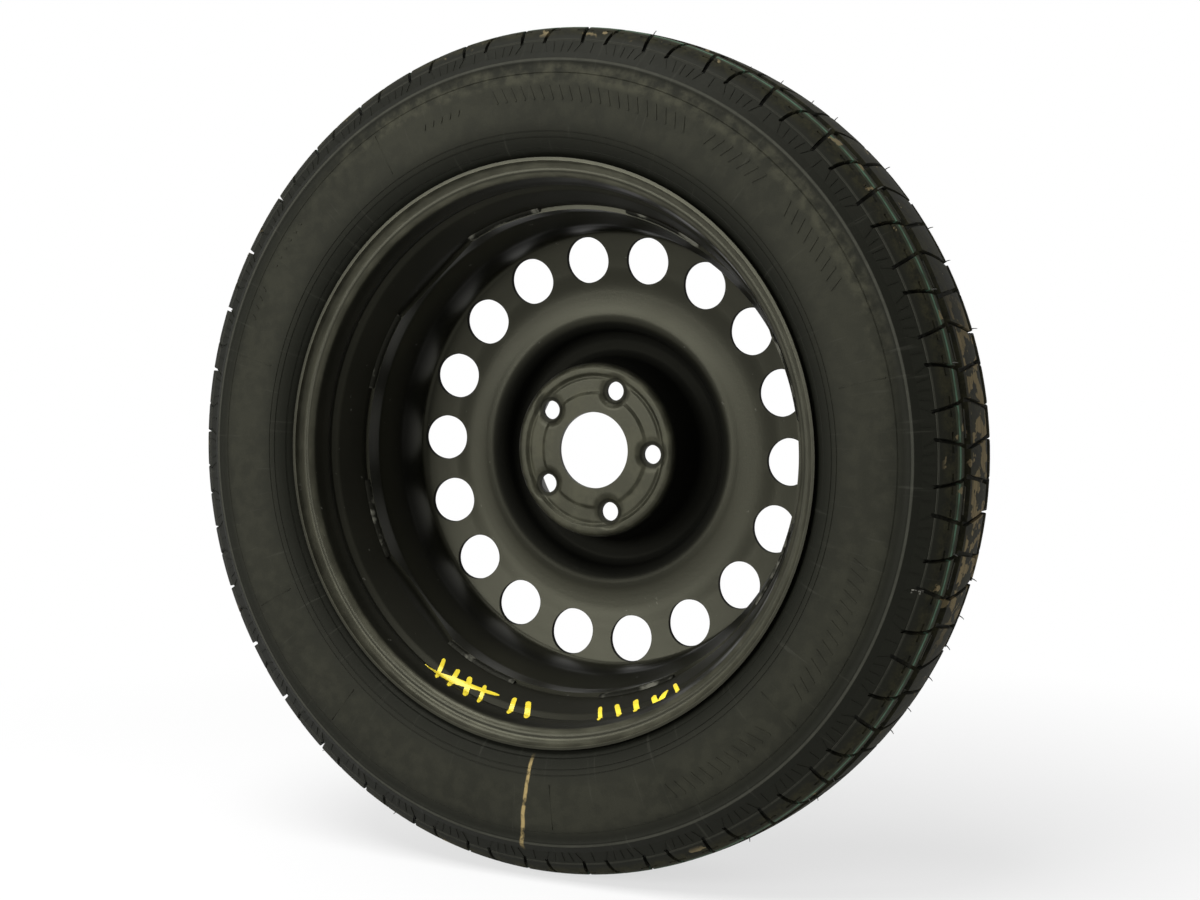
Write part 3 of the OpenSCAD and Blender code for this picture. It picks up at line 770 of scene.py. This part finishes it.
class Finish:
    """A material, or the world, built from nodes."""

    def __init__(self, name="", world=None):
        self.owner = world or bpy.data.materials.new(name)
        self.owner.use_nodes = True
        self.tree = self.owner.node_tree
        self.tree.nodes.clear()

    def node(self, kind, settings=None, *values, out=0, **named):
        """Adds a node: its settings first, then values or wires by place or by name."""
        made = self.tree.nodes.new(kind)
        for key, value in (settings or {}).items():
            setattr(made, key, value)
        self.feed(made, enumerate(values))
        self.feed(made, [(key.replace("_", " "), value) for key, value in named.items()])
        return Wire(self, made.outputs[out])

    def feed(self, made, inputs):
        """Sets a node's sockets to values or wires. None leaves one as it is."""
        for key, value in inputs:
            if isinstance(value, Wire):
                self.tree.links.new(value.socket, made.inputs[key])
            elif value is not None:
                made.inputs[key].default_value = value

    def math(self, operation, *values):
        """A Math node."""
        return self.node("ShaderNodeMath", {"operation": operation}, *values)

    def place(self):
        """Position on the wheel: the object's own coordinates."""
        return self.node("ShaderNodeTexCoord", out="Object")

    def parts(self, vector):
        """The three numbers of a vector."""
        made = self.node("ShaderNodeSeparateXYZ", None, vector).socket.node
        return [Wire(self, socket) for socket in made.outputs]

    def vector(self, x, y, z):
        """A vector of three numbers."""
        return self.node("ShaderNodeCombineXYZ", None, x, y, z)

    def noise(self, vector, scale, detail, roughness=0.55):
        """Soft clouds or grain, round about 0.5."""
        return self.node("ShaderNodeTexNoise", None, Vector=vector, Scale=scale, Detail=detail,
                         Roughness=roughness)

    def polar(self, place):
        """Depth towards the outboard side, radius, and angle round the wheel's axis."""
        x, y, z = self.parts(place)
        return y, (x * x + z * z) ** 0.5, self.math("ARCTAN2", z, x)

    def from_hole(self, r, angle, count, phase, circle):
        """Distance from the nearest hole of a ring of holes."""
        half = math.pi / count
        swing = self.math("WRAP", angle - math.radians(phase), half, -half)
        along = r * self.math("COSINE", swing) - circle
        across = r * self.math("SINE", swing)
        return (along * along + across * across) ** 0.5

    def ease(self, value, low, high):
        """0 below low and 1 above high, with a smooth rise between."""
        return self.node("ShaderNodeMapRange", {"interpolation_type": "SMOOTHSTEP"}, value,
                         low, high, 0.0, 1.0)

    def band(self, value, middle, half, soft):
        """1 within half of middle, falling to 0 over soft."""
        return 1 - self.ease(abs(value - middle), half, half + soft)

    def blend(self, mask, first, second):
        """first where the mask is 0, second where it is 1."""
        mix = self.node("ShaderNodeMix", {"data_type": "RGBA"}, mask, out=2)
        self.feed(mix.socket.node, [(6, self.tint(first)), (7, self.tint(second))])
        return mix

    def tint(self, colour):
        """A colour for a socket, from a wire or from three numbers."""
        return colour if isinstance(colour, Wire) else (*colour, 1)

    def bump(self, height, distance, strength=1.0, under=None):
        """The face's direction with a relief on it, which may lie on another one."""
        return self.node("ShaderNodeBump", None, Height=height, Distance=distance,
                         Strength=strength, Normal=under)

    def coat(self, colour, roughness, bump=None, **fixed):
        """One layer of the finish. What is the same all over is set on its own sockets."""
        return self.node("ShaderNodeBsdfPrincipled", None, Base_Color=self.tint(colour),
                         Roughness=roughness, Normal=bump, **fixed)

    def surface(self, *values, **fixed):
        """A finish of one layer."""
        return self.output(self.coat(*values, **fixed))

    def output(self, shader, kind="ShaderNodeOutputMaterial"):
        """Ends the finish with its shader, and gives the material or world."""
        self.feed(self.tree.nodes.new(kind), [(0, shader)])
        return self.owner


def tyre_rubber():
    """Black rubber with dust, scuffs, clay and a worn green line, and painted sheen, shade and
    highlights on the sidewall.
    """
    f = Finish("moulded_tyre_rubber")
    place = f.place()
    y, r, angle = f.polar(place)
    d = -y - TYRE_PLANE * MM
    cloudy = f.noise(place, 7.0, 4)
    fine = f.noise(place, 90.0, 5, 0.6)
    speckle = f.noise(place, 380.0, 3, 0.7)
    # A painted sheen, mottled with dust, on the middle of the wall; towards the rim and at the
    # shoulder the rubber is darker as painted shade
    wall = f.ease(r, 0.243, 0.274) * (1 - f.ease(r, 0.292, 0.309))
    dirt = 0.45 * f.ease(cloudy, 0.36, 0.68) + 0.45 * f.ease(fine, 0.38, 0.66)
    colour = f.blend(wall * (0.42 + dirt), (0.0058, 0.0061, 0.0043), (0.0185, 0.0185, 0.0128))
    # Dust and a painted sheen in a band near the top of the wall, just inside the ridge
    top_wall_dust_and_sheen = f.band(r, 0.3005, 0.0045, 0.006) * f.band(angle, 1.25, 0.75, 0.4)
    colour = f.blend(top_wall_dust_and_sheen * f.ease(fine, 0.35, 0.7) * 0.75, colour, (0.040, 0.039, 0.026))
    scuffs = f.ease(f.noise(f.vector(r * 18, angle * 70, 0), 1.0, 2), 0.62, 0.74)
    colour = f.blend(scuffs * 0.2, colour, (0.05, 0.05, 0.04))
    # Painted highlights along the sidewall's ridge and the fine moulded line beside the shoulder
    ridge_highlights = f.band(r, 0.3112, 0.0006, 0.0007) + 0.6 * f.band(r, 0.3275, 0.0005, 0.0006)
    colour = f.blend(ridge_highlights * (0.12 + 0.35 * fine), colour, (0.085, 0.085, 0.068))
    tread = f.ease(r, 0.329, 0.335)
    mud = f.ease(fine, 0.35, 0.65) * 0.55 + 0.3 * f.ease(speckle, 0.45, 0.62)
    colour = f.blend(tread * mud, colour, (0.024, 0.0225, 0.0115))
    # Worn green line along the inner edge of the inboard shoulder blocks
    ground = f.ease(r, 0.3365, 0.3372)
    worn = f.ease(f.noise(f.vector(angle * 26, d * 300, 0), 1.0, 3), 0.3, 0.6)
    colour = f.blend(f.band(d, 0.0430, 0.0032, 0.0006) * ground * (0.35 + 0.3 * worn), colour,
                     (0.042, 0.052, 0.033))
    colour = f.blend(f.band(d, 0.0432, 0.0007, 0.0005) * ground * (0.25 + 0.7 * worn), colour,
                     (0.075, 0.145, 0.098))
    # Tan clay dried on the centre rib
    clay_at = f.noise(f.vector(angle * 20, d * 42, 0), 1.0, 3)
    streaks = f.noise(f.vector(angle * 7, d * 800, 3), 1.0, 3)
    side = f.band(angle, -0.03, 0.24, 0.2)
    rib = f.band(d, -0.004, 0.0215, 0.003) * f.ease(r, 0.3405, 0.3415)
    clay = rib * side * f.ease(clay_at, 0.5, 0.54) * (1 - 0.8 * f.ease(streaks, 0.55, 0.62))
    crumbs = tread * f.ease(f.noise(place, 62.0, 4), 0.645, 0.67) * 0.8
    colour = f.blend(clay + crumbs * (1 - clay), colour, (0.165, 0.130, 0.070))
    # Tan streak down the lower sidewall
    drift = angle + 1.585 + f.noise(f.vector(r * 30, 0, 0), 1.0, 2) * 0.02
    streak = f.band(drift + (r - 0.28) * 0.35, 0.01, 0.0035, 0.004) * f.band(r, 0.279, 0.030, 0.01)
    streak = streak * f.ease(d, 0.03, 0.04)
    colour = f.blend(streak * f.ease(fine, 0.35, 0.55) * 0.85, colour, (0.30, 0.225, 0.095))
    fleck = f.band(angle, -0.287, 0.0035, 0.002) * f.band(r, 0.3255, 0.0025, 0.001)
    colour = f.blend(fleck * f.ease(fine, 0.42, 0.5), colour, (0.45, 0.44, 0.38))
    grain = f.noise(place, 900.0, 2)
    roughness = 0.54 + 0.14 * fine + 0.2 * tread + 0.14 * clay
    height = grain * 0.5 + fine * 0.7 + speckle * 0.4
    return f.surface(colour, roughness, f.bump(height, 0.0003, 0.6), Specular_IOR_Level=0.12,
                     Specular_Tint=(1.0, 1.0, 0.84, 1))


SHEEN = {"Specular_IOR_Level": 0.22, "Specular_Tint": (1.0, 0.99, 0.74, 1)}


def dip_coat(f, place, base, dust, gloss, under=None):
    """Semi-gloss black dip coat on pressed steel, with dust and handling marks."""
    y, r, angle = f.polar(place)
    cloudy = f.noise(place, 9.0, 4)
    peel = f.noise(place, 420.0, 2)
    wiped = f.noise(f.vector(r * 60, angle * 3, y * 60), 1.0, 4)
    colour = f.blend(f.ease(cloudy, 0.4, 0.75) * 0.6 + 0.25 * wiped, base, dust)
    specks = f.ease(f.noise(place, 210.0, 2), 0.735, 0.77)
    colour = f.blend(specks * 0.5, colour, (0.10, 0.10, 0.085))
    gloss = gloss + 0.08 * cloudy + 0.08 * wiped
    return colour, gloss, f.bump(peel * 0.4 + cloudy * 0.8, 0.0004, 0.35, under)


def rim_coat():
    """The dip coat on the rim, with dust and a painted highlight on the flange."""
    f = Finish("rim_coat")
    place = f.place()
    _, r, angle = f.polar(place)
    well = f.band(r, 0.209, 0.0085, 0.002)
    colour, gloss, relief = dip_coat(f, place, (0.0045, 0.0045, 0.0033), (0.010, 0.0095, 0.0068),
                                     0.26 + 0.24 * well)
    # The flange's two rounds carry dust and a painted highlight, brighter towards the top and
    # bottom, with a darker ring between them
    rounds = f.band(r, 0.2229, 0.0012, 0.0012) + f.band(r, 0.2312, 0.0022, 0.0010)
    patchy = f.ease(f.noise(f.vector(r * 120, angle * 9, 0), 1.0, 4), 0.3, 0.75)
    lit_top_and_bottom = 0.55 + 0.45 * abs(f.math("SINE", angle))
    paler = (rounds + 0.25 * f.ease(r, 0.2205, 0.2215)) * (0.35 + 0.5 * patchy) * lit_top_and_bottom
    colour = f.blend(paler, colour, (0.048, 0.047, 0.033))
    return f.surface(colour, gloss, relief, **SHEEN)


def disc_coat():
    """The same coat, worn round the hub and lighter there as a painted highlight, with painted
    shade as a dark, dull coat in the moat, on the skirt, round the dimples and at the vents'
    edges.
    """
    f = Finish("disc_coat")
    place = f.place()
    y, r, angle = f.polar(place)
    inboard = f.ease(-f.parts(f.node("ShaderNodeNewGeometry", out=1))[1], -0.12, 0.02)
    moat = f.ease(y + 0.75 * (r - 0.075), 0.003, 0.009) * f.ease(r, 0.0725, 0.0742)
    # The painted shade ends sharply above the moat, and fades slowly below it
    upper = f.math("COSINE", angle - 1.22)
    moat = moat * (1 - f.ease(r, 0.1075 - 0.0005 * upper, 0.1195 - 0.0075 * upper))
    skirt = f.ease(r, 0.1880, 0.1900) * f.ease(y, -0.03, 0.0)
    from_bolt = f.from_hole(r, angle, len(BOLTS), BOLTS[0], BOLT_CIRCLE * MM)
    dimple = f.band(from_bolt, 0.0093, 0.0012, 0.0016)
    edge = 1 - f.ease(f.from_hole(r, angle, VENTS, VENT_PHASE, VENT_CIRCLE_R * MM),
                      (VENT_R + 0.05) * MM, (VENT_R + 0.5) * MM)
    # Painted shade: the dark, dull coat covers the moat, the skirt, the dimples' rings and the
    # vents' edges on the inboard side
    painted_shade = inboard * (0.94 * moat + 0.85 * skirt + 0.7 * dimple)
    painted_shade = f.math("MINIMUM", f.math("MAXIMUM", painted_shade, edge * 0.95), 1.0)
    # The press leaves the sheet between the crest and the vents softly dished
    dished = f.bump(f.ease(r, 0.117, 0.158) * inboard, 0.0105)
    colour, gloss, relief = dip_coat(f, place, (0.006, 0.006, 0.0041), (0.014, 0.0136, 0.0088),
                                     0.29, dished)
    # The hub is lighter all over as a painted highlight, and paler still in rubbed patches of wear
    hub = 1 - f.ease(r, 0.070, 0.0755)
    rubbed = f.ease(f.noise(place, 46.0, 4, 0.6), 0.42, 0.66) * hub
    colour = f.blend(inboard * (0.25 * hub + 0.6 * rubbed), colour, (0.046, 0.045, 0.030))
    worn = f.coat(colour, gloss + 0.12 * rubbed, relief, **SHEEN)
    # The dark, dull coat that is painted shade
    darker = f.coat((0.0055, 0.0055, 0.0042), 0.8, relief, Specular_IOR_Level=0.03)
    return f.output(f.node("ShaderNodeMixShader", None, painted_shade, worn, darker))


def weld_coat():
    """The same coat on the beads, rubbed pale in patches."""
    f = Finish("coated_weld")
    place = f.place()
    patches = f.ease(f.noise(place, 55.0, 3), 0.5, 0.62)
    grit = f.noise(place, 700.0, 2)
    colour = f.blend(patches * 0.6, (0.006, 0.006, 0.0045), (0.15, 0.148, 0.12))
    return f.surface(colour, 0.5 + 0.2 * patches, f.bump(grit, 0.0003, 0.5),
                     Specular_IOR_Level=0.12, Specular_Tint=(1.0, 0.99, 0.8, 1))


def plain_rubber(name, colour):
    """Black rubber or plastic with a little dust."""
    f = Finish(name)
    place = f.place()
    grain = f.noise(place, 1400.0, 2)
    paler = f.noise(place, 160.0, 3)
    pale = tuple(c * 2.2 for c in colour)
    return f.surface(f.blend(f.ease(paler, 0.45, 0.75), colour, pale), 0.62 + 0.15 * paler,
                     f.bump(grain, 0.0001, 0.4))


def turned_brass():
    """Brass with fine turning rings and some tarnish."""
    f = Finish("turned_brass")
    place = f.place()
    rings = f.noise(place, 1800.0, 2)
    stain = f.ease(f.noise(place, 240.0, 3), 0.45, 0.7)
    return f.surface(f.blend(stain * 0.5, (0.72, 0.53, 0.24), (0.42, 0.30, 0.14)),
                     0.24 + 0.25 * stain, f.bump(rings, 0.00008, 0.4), Metallic=1.0)


def spring_steel():
    """Bright drawn wire."""
    f = Finish("spring_steel")
    drawn_marks = f.noise(f.place(), 2600.0, 2)
    return f.surface(f.blend(drawn_marks, (0.46, 0.46, 0.45), (0.62, 0.62, 0.60)), 0.28,
                     f.bump(drawn_marks, 0.00005, 0.4), Metallic=1.0)


def sealing_plastic():
    """White sealing plastic."""
    f = Finish("sealing_plastic")
    cloud = f.noise(f.place(), 900.0, 2)
    return f.surface(f.blend(cloud, (0.66, 0.65, 0.60), (0.78, 0.77, 0.72)), 0.4 + 0.1 * cloud)


def pen_paint():
    """Yellow pen paint, thin in places."""
    f = Finish("yellow_pen_paint")
    place = f.place()
    darker = f.ease(f.noise(place, 260.0, 3), 0.6, 0.74)
    colour = f.blend(darker * 0.55, (0.78, 0.62, 0.035), (0.33, 0.27, 0.03))
    return f.surface(colour, 0.42, f.bump(f.noise(place, 800.0, 2), 0.0001, 0.4))


def seen_rays(f):
    """1 for what the camera sees itself, in a gloss or through something clear."""
    rays = f.node("ShaderNodeLightPath").socket.node
    camera, gloss, clear = [Wire(f, rays.outputs[f"Is {kind} Ray"])
                            for kind in ("Camera", "Glossy", "Transmission")]
    return f.math("MAXIMUM", f.math("MAXIMUM", camera, gloss), clear)


def floor_white():
    """A pale floor with the wheel's soft shadow, which runs out to plain white."""
    f = Finish("studio_floor")
    card = f.node("ShaderNodeBsdfDiffuse", None, (0.86, 0.86, 0.86, 1))
    glow = f.node("ShaderNodeEmission", None, (1, 1, 1, 1), 1.0)
    x, y, _ = f.parts(f.place())
    away = f.ease((x * x + y * y) ** 0.5, 0.45, 1.1)
    return f.output(f.node("ShaderNodeMixShader", None, seen_rays(f) * (0.66 + 0.34 * away), card,
                           glow))


# Assembly


def painted(obj, finish):
    """Gives the piece its finish."""
    obj.data.materials.clear()
    obj.data.materials.append(finish)


def fitted(obj, finish, body="wheel", stands_for=()):
    """Finishes a piece, and lets it ride on its body in place of its plain solid."""
    painted(obj, finish)
    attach(obj, body)
    if stands_for:
        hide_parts(*stands_for)


tyre_finish = tyre_rubber()
fitted(make_tyre(), tyre_finish, stands_for=("tyre",))
fitted(make_buttress_rays(), tyre_finish)
fitted(make_stone_bars(), tyre_finish)
fitted(make_wall_ribs(), tyre_finish)
fitted(make_mould_lines(), tyre_finish)
fitted(make_mould_hairs(), plain_rubber("hair_rubber", (0.03, 0.03, 0.024)))
fitted(make_rim(), rim_coat(), stands_for=("rim_band",))
fitted(make_disc(), disc_coat(), stands_for=("wheel_disc",))
weld_finish = weld_coat()
for bead in range(1, 9):
    fitted(make_weld_bead(bead), weld_finish, stands_for=(f"weld_bead_{bead}",))
brass = turned_brass()
fitted(make_valve_stem(), plain_rubber("stem_rubber", (0.016, 0.016, 0.015)),
       stands_for=("valve_stem",))
fitted(make_valve_sleeve(), brass, stands_for=("valve_sleeve",))
fitted(make_valve_cap(), plain_rubber("cap_plastic", (0.013, 0.013, 0.013)),
       "cap", stands_for=("valve_cap",))
fitted(make_paint_strokes(), pen_paint())
painted(nodes["valve_core_barrel"], brass)
painted(nodes["valve_core_pin"], brass)
painted(nodes["valve_core_seal"], sealing_plastic())
painted(nodes["valve_core_spring"], spring_steel())
painted(nodes["valve_cap_seal"], plain_rubber("washer_rubber", (0.05, 0.05, 0.048)))


# Studio


def aimed(obj, place, target):
    """Places a lamp or the camera, and turns it to a target."""
    obj.location = place
    obj.rotation_euler = (Vector(target) - Vector(place)).to_track_quat("-Z", "Y").to_euler()


def soft_lamp(name, place, size, power):
    """A round soft lamp, turned to the hub."""
    light = bpy.data.lights.new(name, "AREA")
    light.shape, light.size, light.energy = "DISK", size, power
    lamp = bpy.data.objects.new(name, light)
    bpy.context.scene.collection.objects.link(lamp)
    aimed(lamp, place, (0, 0, 0))


def studio():
    """The floor, the backdrop, the lamps and the camera."""
    bpy.ops.object.select_all(action="DESELECT")
    bpy.ops.mesh.primitive_plane_add(size=12, location=(0, 0, -TYRE_R * MM))
    floor = bpy.context.object
    floor.name = "studio_floor"
    painted(floor, floor_white())
    world = bpy.data.worlds.new("studio")
    bpy.context.scene.world = world
    f = Finish(world=world)
    # The backdrop is white. The gloss shows it behind the wheel, and a grey room in front
    behind = f.ease(f.parts(f.node("ShaderNodeTexCoord", out="Generated"))[1], -0.05, 0.3)
    camera_ray = f.node("ShaderNodeLightPath")
    white = f.math("MAXIMUM", camera_ray, behind * seen_rays(f))
    f.output(f.node("ShaderNodeBackground", None, (1, 1, 1, 1), 0.35 + 0.65 * white),
             "ShaderNodeOutputWorld")
    soft_lamp("key", (-1.4, -3.2, 0.72), size=1.6, power=85)
    soft_lamp("top", (-0.4, -1.3, 2.7), size=2.0, power=85)
    camera = bpy.data.objects.new("camera", bpy.data.cameras.new("camera"))
    bpy.context.scene.collection.objects.link(camera)
    camera.data.sensor_width = 36.0
    camera.data.lens = 50.597
    place = Vector((0.6498, -1.2816, 0.0611))
    aimed(camera, place, place - Vector((0.44823, -0.89292, 0.04236)))
    bpy.context.scene.camera = camera
    bpy.context.scene.view_settings.view_transform = "Standard"


studio()
